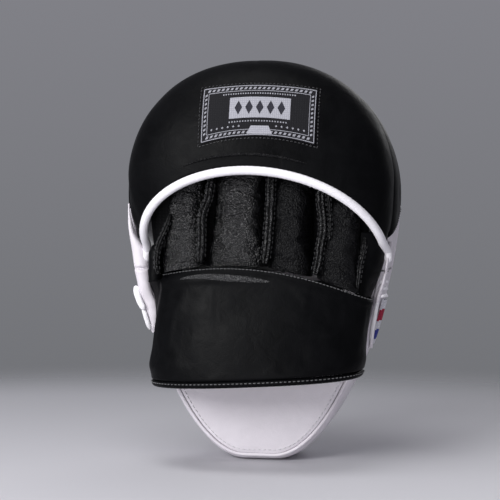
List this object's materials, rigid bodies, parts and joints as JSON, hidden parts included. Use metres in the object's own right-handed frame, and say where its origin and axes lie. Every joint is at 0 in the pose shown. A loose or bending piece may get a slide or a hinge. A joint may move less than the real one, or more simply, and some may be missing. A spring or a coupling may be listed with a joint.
{
  "type": "focus mitt",
  "caption": "Curved leather focus mitt for a right hand, with a padded hood over four finger stalls, a cuff over the knuckles and a white heel.",
  "frame": {"origin": "the middle of the mitt's box, at the lowest point of the heel", "axes": "+Z from the heel to the fingertips, +Y out of the strike face, the hand side faces -Y and the thumb side -X"},
  "size_m": [0.188, 0.123, 0.2753],
  "materials": {
    "black_leather": "satin",
    "grained_leather": "satin",
    "white_leather": "satin",
    "white_binding": "satin",
    "foam": "matte",
    "lining": "matte",
    "label_weave": "matte",
    "tab_weave": "matte"
  },
  "bodies": {
    "palm": {"palm_strike_cover": "white_leather", "palm_shock_foam": "foam", "palm_impact_foam": "foam", "palm_side_gusset": "white_leather", "palm_front_piping": "black_leather", "palm_back_panel": "white_leather", "palm_back_piping": "white_leather", "palm_bed_lining": "lining", "palm_grip_pad": "black_leather", "target_patch": "black_leather", "side_tab": "tab_weave", "thumb_side_fold": "white_leather", "little_side_fold": "white_leather"},
    "fingers": {"finger_strike_cover": "white_leather", "finger_shock_foam": "foam", "finger_impact_foam": "foam", "finger_side_gusset": "white_leather", "finger_front_piping": "black_leather", "finger_back_panel": "lining", "thumb_side_band": "white_leather", "little_side_band": "white_leather", "hood_shell": "black_leather", "hood_padding": "foam", "hood_lining": "lining", "hood_edge_binding": "white_binding", "hood_label": "label_weave", "index_stall": "grained_leather", "middle_stall": "grained_leather", "ring_stall": "grained_leather", "little_stall": "grained_leather", "thumb_stall": "grained_leather", "thumb_index_welt": "black_leather", "index_middle_welt": "black_leather", "middle_ring_welt": "black_leather", "ring_little_welt": "black_leather", "little_side_wall": "grained_leather"},
    "cuff": {"cuff_shell": "black_leather", "cuff_padding": "foam", "cuff_lining": "lining", "cuff_hem_binding": "black_leather"}
  },
  "joints": [
    {"name": "finger_flex", "type": "hinge", "parent": "palm", "child": "fingers", "pos_m": [0, 0.00347, 0.131], "axis": [-1, 0, 0], "range_deg": [0, 7], "stiffness_Nm_per_rad": 6},
    {"name": "cuff_lift", "type": "hinge", "parent": "palm", "child": "cuff", "pos_m": [0, -0.0395, 0.1325], "axis": [-1, 0, 0], "range_deg": [0, 8], "stiffness_Nm_per_rad": 2}
  ]
}
